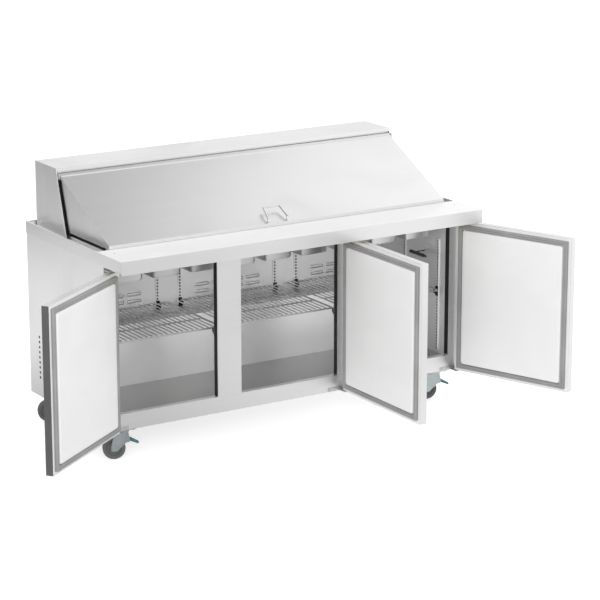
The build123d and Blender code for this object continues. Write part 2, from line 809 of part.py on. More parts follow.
def all_nodes():
    nodes = {
        "counter_top": counter_top(),
        "board_pin": board_pins(),
        "well_frame": well_frame(),
        "divider_bar": divider_bars(),
        "sixth_pan": food_pans(),
        "side_panel_left": side_panel(-1),
        "side_panel_right": side_panel(1),
        "back_panel": back_panel(),
        "base_pan": base_pan(),
        "inner_liner": inner_liner(),
        "insulation": insulation(),
        "bottom_rail": bottom_rail(),
        "header_rail": header_rail(),
        "corner_stile": corner_stiles(),
        "mullion": mullions(),
        "breaker_strip": breaker_strips(),
        "hood_sheet": hood_sheet(),
        "hood_baffle": hood_baffle(),
        "hood_seal": hood_seals(),
        "lid_hinge_bracket": lid_hinge_brackets(),
        "lid_shell": lid_shell(),
        "lid_core": lid_core(),
        "lid_handle": lid_handle(),
        "door_hinge_bracket": door_brackets(),
        "panel_screw": panel_screws(),
        "wire_shelf": wire_shelves(),
        "shelf_standard": shelf_standards(),
        "shelf_clip": shelf_clips(),
        "thermometer": thermometer(),
        "duct_panel": duct_panel(),
        "evaporator_coil": evaporator_coil(),
        "evaporator_fan_motor": evaporator_fan_motors(),
        "evaporator_blade_left": evaporator_blade(-690),
        "evaporator_blade_right": evaporator_blade(690),
        "compressor": compressor(),
        "condenser_coil": condenser_coil(),
        "condenser_fan_motor": condenser_fan_motor(),
        "condenser_blade": condenser_blade(),
        "refrigerant_lines": refrigerant_lines(),
        "control_box": control_box(),
        "caster_plate": caster_plates(),
    }
    for name in door_pivots:
        nodes["door_skin_" + name] = [place_door(name, door_skin_tray())]
        nodes["door_core_" + name] = [place_door(name, door_core())]
        nodes["door_gasket_" + name] = [place_door(name, door_gasket())]
    nodes.update(caster_parts())
    return nodes


def to_solids(items):
    solids = []
    for item in items:
        solids += item.solids()
    return solids


os.makedirs("parts", exist_ok=True)
shift = Pos(-origin_x, -origin_y, 0)
for node, items in all_nodes().items():
    solids = [shift * solid for solid in to_solids(items)]
    shape = solids[0] if len(solids) == 1 else Compound(children=solids)
    export_step(shape, "parts/" + node + ".step")
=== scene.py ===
import math
import bmesh
import bpy
from mathutils import Matrix, Vector
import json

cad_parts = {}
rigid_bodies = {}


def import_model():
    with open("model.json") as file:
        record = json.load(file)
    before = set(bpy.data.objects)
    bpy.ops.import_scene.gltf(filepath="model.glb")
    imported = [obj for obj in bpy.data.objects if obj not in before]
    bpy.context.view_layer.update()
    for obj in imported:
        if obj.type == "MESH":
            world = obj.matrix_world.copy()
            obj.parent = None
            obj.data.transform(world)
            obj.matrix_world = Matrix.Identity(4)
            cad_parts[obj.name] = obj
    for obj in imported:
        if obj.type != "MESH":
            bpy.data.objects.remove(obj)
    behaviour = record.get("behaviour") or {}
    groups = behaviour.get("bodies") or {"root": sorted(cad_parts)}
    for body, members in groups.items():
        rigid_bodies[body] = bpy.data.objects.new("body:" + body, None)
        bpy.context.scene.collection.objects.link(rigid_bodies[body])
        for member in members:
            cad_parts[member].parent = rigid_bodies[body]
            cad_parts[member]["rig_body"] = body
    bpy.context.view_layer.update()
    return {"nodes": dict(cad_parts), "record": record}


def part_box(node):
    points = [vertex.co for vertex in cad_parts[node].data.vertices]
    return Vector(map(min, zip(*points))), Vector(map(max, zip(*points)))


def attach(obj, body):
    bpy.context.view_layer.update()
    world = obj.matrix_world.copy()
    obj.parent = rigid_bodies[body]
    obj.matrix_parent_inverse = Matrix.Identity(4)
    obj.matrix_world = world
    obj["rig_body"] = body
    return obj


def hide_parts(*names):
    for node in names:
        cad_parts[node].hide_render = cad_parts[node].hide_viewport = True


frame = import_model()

scene = bpy.context.scene
cadNodes = frame["nodes"]
print("prep table: frame loaded,", len(cadNodes), "nodes")

mm = 0.001
cabinetMidX = (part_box("counter_top")[0].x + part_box("counter_top")[1].x) / 2
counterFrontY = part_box("counter_top")[0].y


def place(x, y, z):
    # millimetres from the cabinet's middle, the counter's front edge and the floor
    return Vector((cabinetMidX + x * mm, counterFrontY + y * mm, z * mm))


# camera, floor and light

cameraSetup = {"place": (-5.1714, -8.5602, 3.2613), "down": 14.983, "turn": 32.16, "lens": 146.29}


def addCamera(setup):
    data = bpy.data.cameras.new("shopCamera")
    data.lens = setup["lens"]
    data.sensor_width = 36
    data.clip_start = 0.1
    data.clip_end = 400
    camera = bpy.data.objects.new("shopCamera", data)
    camera.location = setup["place"]
    camera.rotation_euler = (math.radians(90 - setup["down"]), 0, math.radians(-setup["turn"]))
    scene.collection.objects.link(camera)
    scene.camera = camera


addCamera(cameraSetup)
scene.view_settings.view_transform = "Standard"


# node helpers, used for materials and for Geometry Nodes

def addNode(tree, kind, values=None, **settings):
    # values may be plain numbers or another node's output, which is then linked
    made = tree.nodes.new(kind)
    for key, value in settings.items():
        setattr(made, key, value)
    for key, value in (values or {}).items():
        if isinstance(value, bpy.types.NodeSocket):
            tree.links.new(value, made.inputs[key])
        else:
            made.inputs[key].default_value = value
    return made


def newTree(name, kind, inputs, outputs):
    tree = bpy.data.node_groups.new(name, kind)
    for label, socketType, value in inputs:
        socket = tree.interface.new_socket(name=label, in_out="INPUT", socket_type=socketType)
        if value is not None:
            socket.default_value = value
    for label, socketType in outputs:
        tree.interface.new_socket(name=label, in_out="OUTPUT", socket_type=socketType)
    return tree, addNode(tree, "NodeGroupInput").outputs, addNode(tree, "NodeGroupOutput")


def mathNode(tree, operation, a, b):
    return addNode(tree, "ShaderNodeMath", {0: a, 1: b}, operation=operation).outputs[0]


floatSocket = "NodeSocketFloat"
vectorSocket = "NodeSocketVector"


# brushed sheet: long fine scratches with a few broader streaks
def makeBrushedGrain():
    tree, given, out = newTree(
        "brushedGrain", "ShaderNodeTree",
        [("Vector", vectorSocket, None), ("Stretch", vectorSocket, (1, 1, 1)),
         ("Fine Scale", floatSocket, 320.0), ("Streak Scale", floatSocket, 34.0)],
        [("Shade", floatSocket), ("Height", floatSocket)])
    pulled = addNode(tree, "ShaderNodeVectorMath", {0: given["Vector"], 1: given["Stretch"]},
                     operation="MULTIPLY").outputs[0]
    fine = addNode(tree, "ShaderNodeTexNoise",
                   {"Vector": pulled, "Scale": given["Fine Scale"], "Detail": 3.0})
    streak = addNode(tree, "ShaderNodeTexNoise",
                     {"Vector": pulled, "Scale": given["Streak Scale"], "Detail": 2.0})
    half = mathNode(tree, "MULTIPLY", fine.outputs["Fac"], 0.5)
    shade = addNode(tree, "ShaderNodeMath", {0: streak.outputs["Fac"], 1: 0.5, 2: half},
                    operation="MULTIPLY_ADD")
    tree.links.new(shade.outputs[0], out.inputs["Shade"])
    tree.links.new(fine.outputs["Fac"], out.inputs["Height"])
    return tree


# hand marks and cleaning smears, as a soft mask
def makeSmears():
    tree, given, out = newTree(
        "wipedSmears", "ShaderNodeTree",
        [("Vector", vectorSocket, None), ("Scale", floatSocket, 3.0), ("Low", floatSocket, 0.42),
         ("High", floatSocket, 0.7)],
        [("Mask", floatSocket)])
    cloud = addNode(tree, "ShaderNodeTexNoise", {"Vector": given["Vector"], "Scale": given["Scale"],
                                                 "Detail": 4.0, "Distortion": 0.6})
    ramp = addNode(tree, "ShaderNodeMapRange", {"Value": cloud.outputs["Fac"], "From Min": given["Low"],
                                                "From Max": given["High"]}, interpolation_type="SMOOTHSTEP")
    tree.links.new(ramp.outputs["Result"], out.inputs["Mask"])
    return tree


# small pits and orange peel of moulded or painted surfaces
def makeSpeckle():
    tree, given, out = newTree(
        "mouldedSpeckle", "ShaderNodeTree",
        [("Vector", vectorSocket, None), ("Scale", floatSocket, 220.0), ("Spread", floatSocket, 0.5)],
        [("Shade", floatSocket), ("Height", floatSocket)])
    grain = addNode(tree, "ShaderNodeTexNoise",
                    {"Vector": given["Vector"], "Scale": given["Scale"], "Detail": 2.0})
    cells = addNode(tree, "ShaderNodeTexVoronoi", {"Vector": given["Vector"], "Scale": given["Scale"]})
    spread = mathNode(tree, "MULTIPLY", cells.outputs["Distance"], given["Spread"])
    height = mathNode(tree, "ADD", grain.outputs["Fac"], spread)
    tree.links.new(grain.outputs["Fac"], out.inputs["Shade"])
    tree.links.new(height, out.inputs["Height"])
    return tree


brushedGrain = makeBrushedGrain()
wipedSmears = makeSmears()
mouldedSpeckle = makeSpeckle()


def useGroup(tree, group, values):
    return addNode(tree, "ShaderNodeGroup", values, node_tree=group).outputs


def mixColor(tree, factor, a, b):
    made = addNode(tree, "ShaderNodeMix", {0: factor, 6: a, 7: b}, data_type="RGBA")
    return made.outputs[2]


def gray(value, tint=(1.0, 1.0, 1.0)):
    return (value * tint[0], value * tint[1], value * tint[2], 1.0)


def startMaterial(name):
    made = bpy.data.materials.new(name)
    made.use_nodes = True
    tree = made.node_tree
    return made, tree, tree.nodes["Principled BSDF"], addNode(tree, "ShaderNodeTexCoord").outputs["Object"]


def steelFinish(name, light, dark, rough, stretch, grain=0.5, smear=0.06, tint=(1.0, 1.0, 1.0), bump=0.04):
    made, tree, skin, where = startMaterial(name)
    lines = useGroup(tree, brushedGrain, {"Vector": where, "Stretch": stretch})
    marks = useGroup(tree, wipedSmears, {"Vector": where, "Scale": 2.6})["Mask"]
    spread = addNode(tree, "ShaderNodeMapRange", {"Value": lines["Shade"], "From Min": 0.5 - grain,
                                                  "From Max": 0.5 + grain}).outputs["Result"]
    color = mixColor(tree, spread, gray(dark, tint), gray(light, tint))
    tree.links.new(color, skin.inputs["Base Color"])
    skin.inputs["Metallic"].default_value = 1.0
    wiped = addNode(tree, "ShaderNodeMath", {0: marks, 1: smear, 2: rough},
                    operation="MULTIPLY_ADD").outputs[0]
    final = addNode(tree, "ShaderNodeMath", {0: lines["Shade"], 1: 0.12, 2: wiped}, operation="MULTIPLY_ADD")
    tree.links.new(final.outputs[0], skin.inputs["Roughness"])
    ridge = addNode(tree, "ShaderNodeBump", {"Height": lines["Height"], "Strength": bump, "Distance": 0.0004})
    tree.links.new(ridge.outputs["Normal"], skin.inputs["Normal"])
    return made


def mouldedFinish(name, light, dark, rough, tint=(1.0, 1.0, 1.0), scale=260.0, bump=0.08, metal=0.0, coat=0.0,
                  shine=0.5):
    made, tree, skin, where = startMaterial(name)
    spots = useGroup(tree, mouldedSpeckle, {"Vector": where, "Scale": scale})
    marks = useGroup(tree, wipedSmears, {"Vector": where, "Scale": 5.0, "Low": 0.35, "High": 0.75})["Mask"]
    both = addNode(tree, "ShaderNodeMath", {0: spots["Shade"], 1: 0.4, 2: marks}, operation="MULTIPLY_ADD",
                   use_clamp=True).outputs[0]
    tree.links.new(mixColor(tree, both, gray(dark, tint), gray(light, tint)), skin.inputs["Base Color"])
    skin.inputs["Metallic"].default_value = metal
    skin.inputs["Coat Weight"].default_value = coat
    skin.inputs["Specular IOR Level"].default_value = shine
    roughness = addNode(tree, "ShaderNodeMath", {0: marks, 1: 0.1, 2: rough},
                        operation="MULTIPLY_ADD").outputs[0]
    tree.links.new(roughness, skin.inputs["Roughness"])
    ridge = addNode(tree, "ShaderNodeBump", {"Height": spots["Height"], "Strength": bump, "Distance": 0.0006})
    tree.links.new(ridge.outputs["Normal"], skin.inputs["Normal"])
    return made


alongX = (0.012, 1.0, 1.0)
alongZ = (1.0, 1.0, 0.012)
allWays = (0.5, 0.5, 0.5)
# light and dark end of each sheet's tone, roughness, then the way of its brushing
steelSheets = {
    "stainless": (0.84, 0.77, 0.28, alongX),
    "stainless_side": (0.87, 0.81, 0.3, alongZ),
    "liner_floor": (0.5, 0.42, 0.32, alongX),
    "pan_steel": (0.74, 0.64, 0.26, alongX),
    "galvanised": (0.62, 0.5, 0.42, allWays),
    "bracket_steel": (0.68, 0.55, 0.34, allWays),
    "screw_steel": (0.72, 0.6, 0.28, allWays),
    "chrome_wire": (0.85, 0.75, 0.16, allWays),
    "fin_aluminium": (0.78, 0.68, 0.4, alongZ),
}
mouldedStuff = {
    "foam": dict(light=0.8, dark=0.7, rough=0.85, tint=(1.0, 0.93, 0.72), scale=90.0, bump=0.5),
    "liner_metal": dict(light=0.95, dark=0.9, rough=0.34, scale=420.0, bump=0.03, metal=0.6),
    # pale colour for the work ledge's top: a painted reflection of the steel's bright sheen
    "ledge_painted_sheen": dict(light=0.93, dark=0.9, rough=0.3, scale=500.0, bump=0.02, coat=0.1),
    "door_liner": dict(light=0.9, dark=0.87, rough=0.38, scale=500.0, bump=0.03, coat=0.1),
    "breaker_plastic": dict(light=0.025, dark=0.018, rough=0.5, shine=0.2),
    # near-black for the door liners' gasket flange: painted shade
    "flange_painted_shade": dict(light=0.12, dark=0.08, rough=0.6, shine=0.2),
    "gasket_grey": dict(light=0.36, dark=0.3, rough=0.5, bump=0.12, shine=0.4),
    "seal_black": dict(light=0.012, dark=0.007, rough=0.6, bump=0.2, shine=0.12),
    "coated_wire": dict(light=0.62, dark=0.52, rough=0.28, scale=600.0, bump=0.04, metal=0.8),
    "clip_black": dict(light=0.02, dark=0.012, rough=0.45, shine=0.2),
    "probe_dark": dict(light=0.05, dark=0.03, rough=0.3, coat=0.2),
    "motor_black": dict(light=0.035, dark=0.022, rough=0.42, scale=120.0, coat=0.3),
    "blade_grey": dict(light=0.3, dark=0.24, rough=0.45),
    "copper": dict(light=0.85, dark=0.6, rough=0.3, tint=(0.95, 0.5, 0.33), metal=1.0, scale=60.0),
    "zinc": dict(light=0.6, dark=0.4, rough=0.33, tint=(0.9, 1.0, 1.02), metal=1.0, scale=90.0, bump=0.15),
    "tyre_black": dict(light=0.025, dark=0.015, rough=0.5, bump=0.2, shine=0.25),
    "pedal_teal": dict(light=0.2, dark=0.13, rough=0.4, tint=(0.3, 0.95, 1.0), coat=0.2, metal=0.3),
    "tyre_tread": dict(light=0.14, dark=0.1, rough=0.6, bump=0.25, shine=0.25),
}
finish = {key: steelFinish(key, *row) for key, row in steelSheets.items()}
finish.update({key: mouldedFinish(key, **row) for key, row in mouldedStuff.items()})

slotOf = {row["node"]: row["material_slot"] for row in frame["record"]["subparts"]}
for nodeName, nodeObject in cadNodes.items():
    nodeObject.data.materials.clear()
    nodeObject.data.materials.append(finish[slotOf[nodeName]])
print("prep table:", len(finish), "finishes made")


# floor and soft light

studio = {"floorWhite": 0.92, "floorGlow": 0.5, "leftDark": 0.1, "nearLeft": 0.55, "nearRight": 1.0,
          "farLeft": 0.5, "farRight": 1.15, "sideLow": 0.62, "sideMiddle": 1.05, "sideFar": 0.3,
          "horizon": 1.25, "halfUp": 0.72, "zenith": 0.46, "skyLeft": 0.12, "soft": 0.85}


def mapRange(tree, value, low, high, toLow, toHigh):
    span = {"Value": value, "From Min": low, "From Max": high, "To Min": toLow, "To Max": toHigh}
    return addNode(tree, "ShaderNodeMapRange", span, interpolation_type="SMOOTHSTEP").outputs["Result"]


def mixValue(tree, factor, a, b):
    return addNode(tree, "ShaderNodeMix", {0: factor, 2: a, 3: b}, data_type="FLOAT").outputs[0]


def addFloor(setup):
    size = 80
    mesh = bpy.data.meshes.new("shopFloor")
    mesh.from_pydata([(-size, -size, 0), (size, -size, 0), (size, size, 0), (-size, size, 0)], [],
                     [(0, 1, 2, 3)])
    made, tree, skin, where = startMaterial("shopFloor")
    skin.inputs["Base Color"].default_value = gray(setup["floorWhite"])
    skin.inputs["Roughness"].default_value = 0.8
    skin.inputs["Emission Color"].default_value = gray(1.0)
    skin.inputs["Emission Strength"].default_value = setup["floorGlow"]
    # what the steel sees of the room: dark cards at the left, brighter towards the right
    at = addNode(tree, "ShaderNodeSeparateXYZ", {0: where}).outputs
    near = mapRange(tree, at["X"], -0.6, 1.0, setup["nearLeft"], setup["nearRight"])
    far = mapRange(tree, at["X"], 0.6, 2.6, setup["farLeft"], setup["farRight"])
    front = mixValue(tree, mapRange(tree, at["Y"], -2.2, -1.2, 0.0, 1.0), far, near)
    dark = mapRange(tree, at["X"], -1.7, -0.6, 0.0, 1.0)
    front = mixValue(tree, dark, setup["leftDark"], front)
    low = mapRange(tree, at["Y"], 0.9, 2.0, setup["sideLow"], setup["sideMiddle"])
    beside = mixValue(tree, mapRange(tree, at["Y"], 3.3, 4.1, 0.0, 1.0), low, setup["sideFar"])
    seen = mixValue(tree, mapRange(tree, at["Y"], 0.3, 0.9, 0.0, 1.0), front, beside)
    card = addNode(tree, "ShaderNodeEmission", {"Color": gray(1.0)})
    path = addNode(tree, "ShaderNodeLightPath").outputs
    tree.links.new(mixValue(tree, path["Is Diffuse Ray"], seen, setup["soft"]), card.inputs["Strength"])
    view = path["Is Camera Ray"]
    both = addNode(tree, "ShaderNodeMixShader", {0: view, 1: card.outputs[0], 2: skin.outputs[0]})
    tree.links.new(both.outputs[0], tree.nodes["Material Output"].inputs["Surface"])
    mesh.materials.append(made)
    floor = bpy.data.objects.new("shopFloor", mesh)
    scene.collection.objects.link(floor)


def addSky(setup):
    world = bpy.data.worlds.new("softRoom")
    world.use_nodes = True
    tree = world.node_tree
    way = addNode(tree, "ShaderNodeTexCoord").outputs["Generated"]
    up = addNode(tree, "ShaderNodeSeparateXYZ", {0: way}).outputs["Z"]
    low = mapRange(tree, up, 0.1, 0.6, setup["horizon"], setup["halfUp"])
    whole = mixValue(tree, mapRange(tree, up, 0.5, 0.95, 0.0, 1.0), low, setup["zenith"])
    left = addNode(tree, "ShaderNodeVectorMath", {0: way, 1: (-0.97, -0.25, 0.0)}, operation="DOT_PRODUCT")
    shaded = mixValue(tree, mapRange(tree, left.outputs["Value"], 0.45, 0.9, 0.0, 1.0), whole,
                      setup["skyLeft"])
    isDiffuse = addNode(tree, "ShaderNodeLightPath").outputs["Is Diffuse Ray"]
    tree.links.new(mixValue(tree, isDiffuse, shaded, setup["soft"]),
                   tree.nodes["Background"].inputs["Strength"])
    tree.nodes["Background"].inputs["Color"].default_value = gray(1.0)
    scene.world = world


softBoxes = [
    # name, place, aimed at, width, height, watts
    ("rightBox", (3.4, 0.6, 3.4), (0.9, 0.1, 0.9), 3.4, 4.2, 29),
    ("frontBox", (-3.6, -5.0, 2.6), (0.3, 0.0, 0.6), 3.0, 2.0, 135),
]


def addSoftBoxes(rows):
    for name, where, aim, wide, high, watts in rows:
        data = bpy.data.lights.new(name, "AREA")
        data.shape = "RECTANGLE"
        data.size = wide
        data.size_y = high
        data.energy = watts
        lamp = bpy.data.objects.new(name, data)
        lamp.location = where
        lamp.rotation_euler = (Vector(aim) - Vector(where)).to_track_quat("-Z", "Y").to_euler()
        lamp.visible_camera = False
        scene.collection.objects.link(lamp)


addFloor(studio)
addSky(studio)
addSoftBoxes(softBoxes)
print("prep table: floor and light set")


# mesh helpers

def smoothBySharp(mesh, degrees=34):
    for face in mesh.polygons:
        face.use_smooth = True
    mesh.set_sharp_from_angle(angle=math.radians(degrees))


def putPiece(name, mesh, body, slotName, replaced=(), materials=None):
    mesh.materials.clear()
    for used in materials or [slotName]:
        mesh.materials.append(finish[used])
    piece = bpy.data.objects.new(name, mesh)
    scene.collection.objects.link(piece)
    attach(piece, body)
    if replaced:
        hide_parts(*replaced)
    return piece


def ringMesh(name, rings, closed=False, turn=None):
    # rings are equally long loops of points, joined one to the next
    work = bmesh.new()
    loops = [[work.verts.new(point) for point in ring] for ring in rings]
    count = len(rings[0])
    pairs = list(zip(loops, loops[1:])) + ([(loops[-1], loops[0])] if closed else [])
    for first, second in pairs:
        for i in range(count):
            j = (i + 1) % count
            work.faces.new((first[i], first[j], second[j], second[i]))
    if not closed:
        work.faces.new(loops[0])
        work.faces.new(loops[-1])
    bmesh.ops.recalc_face_normals(work, faces=work.faces)
    mesh = bpy.data.meshes.new(name)
    work.to_mesh(mesh)
    work.free()
    if turn is not None:
        mesh.transform(turn)
    smoothBySharp(mesh)
    return mesh


def softRectangle(halfWide, halfHigh, radius, steps=4):
    points = []
    for k, (sx, sz) in enumerate(((1, 1), (-1, 1), (-1, -1), (1, -1))):
        for i in range(steps + 1):
            angle = math.radians(90 * (k + i / steps))
            points.append((sx * (halfWide - radius) + radius * math.cos(angle),
                           sz * (halfHigh - radius) + radius * math.sin(angle)))
    return points


# folded sheets: the CAD sheets with their bends softened

ledge = {"height": 896.0, "depth": 212.0, "reach": 0.8}
foldedSheets = {"counter_top": 0.6, "hood_sheet": 0.6, "lid_shell": 0.6, "bottom_rail": 0.8,
                "header_rail": 0.6, "corner_stile": 0.6, "mullion": 0.5, "side_panel_left": 0.5,
                "side_panel_right": 0.5, "door_skin_left": 0.45, "door_skin_middle": 0.45,
                "door_skin_right": 0.45, "inner_liner": 0.4, "well_frame": 0.4, "divider_bar": 0.8,
                "insulation": 0.3}


def foldedCopy(nodeName, bend):
    work = bmesh.new()
    work.from_mesh(cadNodes[nodeName].data)
    bmesh.ops.remove_doubles(work, verts=work.verts, dist=1e-6)
    bmesh.ops.dissolve_limit(work, angle_limit=math.radians(1), verts=work.verts, edges=work.edges)
    mesh = bpy.data.meshes.new(nodeName + "_folded")
    work.to_mesh(mesh)
    work.free()
    holder = bpy.data.objects.new(nodeName + "_work", mesh)
    scene.collection.objects.link(holder)
    soft = holder.modifiers.new("bend", "BEVEL")
    soft.width = bend * mm
    soft.segments = 2
    soft.limit_method = "ANGLE"
    soft.angle_limit = math.radians(40)
    soft.miter_outer = "MITER_ARC"
    graph = bpy.context.evaluated_depsgraph_get()
    made = bpy.data.meshes.new_from_object(holder.evaluated_get(graph))
    bpy.data.objects.remove(holder)
    for face in made.polygons:
        face.use_smooth = False
    made.name = nodeName + "_folded"
    body = cadNodes[nodeName]["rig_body"]
    return putPiece(nodeName + "_folded", made, body, slotOf[nodeName], (nodeName,))


for sheetName, bendWidth in foldedSheets.items():
    foldedCopy(sheetName, bendWidth)

# the work ledge's top gets a pale non-metal colour: a painted reflection standing in for the bright sheen of
# its steel
def paintLedgeSheen():
    mesh = bpy.data.objects["counter_top_folded"].data
    mesh.materials.append(finish["ledge_painted_sheen"])
    work = bmesh.new()
    work.from_mesh(mesh)
    bmesh.ops.bisect_plane(work, geom=work.verts[:] + work.edges[:] + work.faces[:], dist=1e-6,
                           plane_co=place(0, ledge["depth"], 0), plane_no=(0, 1, 0))
    edge = place(0, ledge["depth"], 0).y
    for face in work.faces:
        middle = face.calc_center_median()
        onTop = face.normal.z > 0.9 and abs(middle.z - ledge["height"] * mm) < ledge["reach"] * mm
        if onTop and middle.y < edge:
            face.material_index = 1
    work.to_mesh(mesh)
    work.free()


paintLedgeSheen()


def secondFinish(pieceName, slotName, picks):
    mesh = bpy.data.objects[pieceName].data
    mesh.materials.append(finish[slotName])
    for face in mesh.polygons:
        if picks(face):
            face.material_index = 1


# the foam above the counter is faced with sheet inside the hood
hoodFacing = {"above": 900.0}
secondFinish("insulation_folded", "stainless", lambda face: face.center.z > hoodFacing["above"] * mm)

# the cavity's floor is duller than its walls
linerFloor = {"height": 200.0, "reach": 3.0}
secondFinish("inner_liner_folded", "liner_floor", lambda face: face.normal.z > 0.9 and abs(
    face.center.z - linerFloor["height"] * mm) < linerFloor["reach"] * mm)
print("prep table: sheets folded")


# doors: moulded liner and ribbed magnetic gasket

door = {"halfWide": 292.0, "halfHigh": 343.0, "midZ": 485.0, "midX": -278.0, "pivotY": 124.5,
        "pivotX": {"left": -872.0, "middle": 278.0, "right": 872.0},
        "open": {"left": -144.4, "middle": 90.0, "right": 111.0},
        "hand": {"left": -1, "middle": 1, "right": 1},
        "gasketInset": 14.0, "gasketCorner": 2.0, "cornerGrowth": 0.35, "shadeBandLow": 9.9, "shadeBandHigh": 19.04}
# inset from the door's edge and height above the hinge plane
linerProfile = [(1.4, 10.0, 3), (1.4, 18.0, 3), (2.2, 18.9, 3), (36.4, 19.0, 12), (37.0, 20.6, 12),
                (38.0, 29.6, 12), (39.4, 32.0, 13), (42.0, 33.0, 14), (52.0, 33.0, 12)]
gasketProfile = [(14.6, 19.1), (14.2, 20.6), (16.6, 22.0), (15.0, 24.2), (14.4, 28.6), (15.6, 31.8),
                 (18.2, 32.9), (21.4, 32.7), (22.6, 30.9), (23.8, 30.6), (25.0, 32.1), (28.6, 32.8),
                 (31.0, 31.6), (31.6, 29.4), (33.2, 29.2), (34.4, 27.0), (33.4, 23.6), (34.9, 20.6),
                 (34.6, 19.1)]


def doorTurn(side):
    flip = Matrix.Scale(-1, 4, (1, 0, 0)) if door["hand"][side] < 0 else Matrix.Identity(4)
    at = Matrix.Translation(place(door["pivotX"][side], door["pivotY"], 0))
    return at @ Matrix.Rotation(math.radians(door["open"][side]), 4, "Z") @ flip


def doorRings(profile):
    rings = []
    for row in profile:
        inset, height = row[0], row[1]
        grown = door["gasketCorner"] + (inset - door["gasketInset"]) * door["cornerGrowth"]
        radius = row[2] if len(row) > 2 else grown
        flat = softRectangle(door["halfWide"] - inset, door["halfHigh"] - inset, radius)
        rings.append([Vector((door["midX"] + x, height, door["midZ"] + z)) * mm for x, z in flat])
    return rings


def fixNormals(mesh):
    work = bmesh.new()
    work.from_mesh(mesh)
    bmesh.ops.recalc_face_normals(work, faces=work.faces)
    work.to_mesh(mesh)
    work.free()
    smoothBySharp(mesh)


for side in ("left", "middle", "right"):
    liner = ringMesh("door_liner_" + side, doorRings(linerProfile), turn=doorTurn(side))
    fixNormals(liner)
    # the flange that carries the gasket is coloured near-black: painted shade of the gap beside the gasket
    back = doorTurn(side).inverted()
    for face in liner.polygons:
        height = (back @ face.center).y
        face.material_index = 1 if door["shadeBandLow"] * mm < height < door["shadeBandHigh"] * mm else 0
    putPiece("door_liner_" + side, liner, "door_" + side, "door_liner", ("door_core_" + side,),
             ("door_liner", "flange_painted_shade"))
    gasket = ringMesh("door_gasket_ribbed_" + side, doorRings(gasketProfile), closed=True,
                      turn=doorTurn(side))
    fixNormals(gasket)
    putPiece("door_gasket_ribbed_" + side, gasket, "door_" + side, "gasket_grey", ("door_gasket_" + side,))
print("prep table: doors lined")


# Geometry Nodes: one tree puts copies of a small shape on marked points

def turnedShape(name, profile, segments):
    # radius and height pairs turned round the upright axis
    rings = []
    for radius, height in profile:
        ring = []
        for i in range(segments):
            angle = 2 * math.pi * i / segments
            ring.append(Vector((radius * math.cos(angle), radius * math.sin(angle), height)) * mm)
        rings.append(ring)
    return ringMesh(name, rings)


def makeCopiesTree():
    tree, given, out = newTree(
        "copiesOnPoints", "GeometryNodeTree",
        [("Points", "NodeSocketObject", None), ("Shape", "NodeSocketObject", None),
         ("Size", floatSocket, 1.0), ("Turn Spread", floatSocket, 0.0), ("Seed", "NodeSocketInt", 7),
         ("Finish", "NodeSocketMaterial", None)],
        [("Geometry", "NodeSocketGeometry")])
    points = addNode(tree, "GeometryNodeObjectInfo", {"Object": given["Points"]}).outputs["Geometry"]
    shape = addNode(tree, "GeometryNodeObjectInfo", {"Object": given["Shape"]}).outputs["Geometry"]
    facing = addNode(tree, "GeometryNodeInputNamedAttribute", {"Name": "facing"}, data_type="FLOAT_VECTOR")
    spin = addNode(tree, "FunctionNodeRandomValue", {3: given["Turn Spread"], "Seed": given["Seed"]},
                   data_type="FLOAT")
    own = addNode(tree, "ShaderNodeCombineXYZ", {"Z": spin.outputs[1]})
    aim = addNode(tree, "FunctionNodeAlignRotationToVector", {"Vector": facing.outputs["Attribute"]},
                  axis="Z")
    turned = addNode(tree, "FunctionNodeRotateRotation", {0: aim.outputs[0]}, rotation_space="LOCAL")
    tree.links.new(addNode(tree, "FunctionNodeEulerToRotation", {0: own.outputs[0]}).outputs[0],
                   turned.inputs[1])
    copies = addNode(tree, "GeometryNodeInstanceOnPoints", {"Points": points, "Instance": shape,
                                                            "Rotation": turned.outputs[0],
                                                            "Scale": given["Size"]})
    real = addNode(tree, "GeometryNodeRealizeInstances", {"Geometry": copies.outputs[0]})
    dressed = addNode(tree, "GeometryNodeSetMaterial",
                      {"Geometry": real.outputs[0], "Material": given["Finish"]})
    tree.links.new(dressed.outputs[0], out.inputs["Geometry"])
    return tree


def growMesh(name, tree, settings):
    host = bpy.data.objects.new(name + "_host", bpy.data.meshes.new(name + "_host"))
    scene.collection.objects.link(host)
    grow = host.modifiers.new("grow", "NODES")
    grow.node_group = tree
    sockets = {item.name: item.identifier for item in tree.interface.items_tree if item.item_type == "SOCKET"
               and item.in_out == "INPUT"}
    for label, value in settings.items():
        grow[sockets[label]] = value
    graph = bpy.context.evaluated_depsgraph_get()
    mesh = bpy.data.meshes.new_from_object(host.evaluated_get(graph))
    host.modifiers.remove(grow)
    bpy.data.objects.remove(host)
    mesh.name = name
    return mesh


def pointsObject(name, rows):
    mesh = bpy.data.meshes.new(name)
    mesh.from_pydata([point for point, facing in rows], [], [])
    ways = mesh.attributes.new("facing", "FLOAT_VECTOR", "POINT")
    for i, (point, facing) in enumerate(rows):
        ways.data[i].vector = facing
    made = bpy.data.objects.new(name, mesh)
    scene.collection.objects.link(made)
    return made


def shapeObject(name, mesh):
    made = bpy.data.objects.new(name, mesh)
    scene.collection.objects.link(made)
    return made


copiesTree = makeCopiesTree()


def copiesPiece(name, rows, shapeMesh, body, slotName, replaced=(), size=1.0, spread=0.0):
    points = pointsObject(name + "_points", rows)
    shape = shapeObject(name + "_shape", shapeMesh)
    mesh = growMesh(name, copiesTree, {"Points": points, "Shape": shape, "Size": size, "Turn Spread": spread,
                                       "Seed": 7, "Finish": finish[slotName]})
    bpy.data.objects.remove(points)
    bpy.data.objects.remove(shape)
    smoothBySharp(mesh)
    return putPiece(name, mesh, body, slotName, replaced)


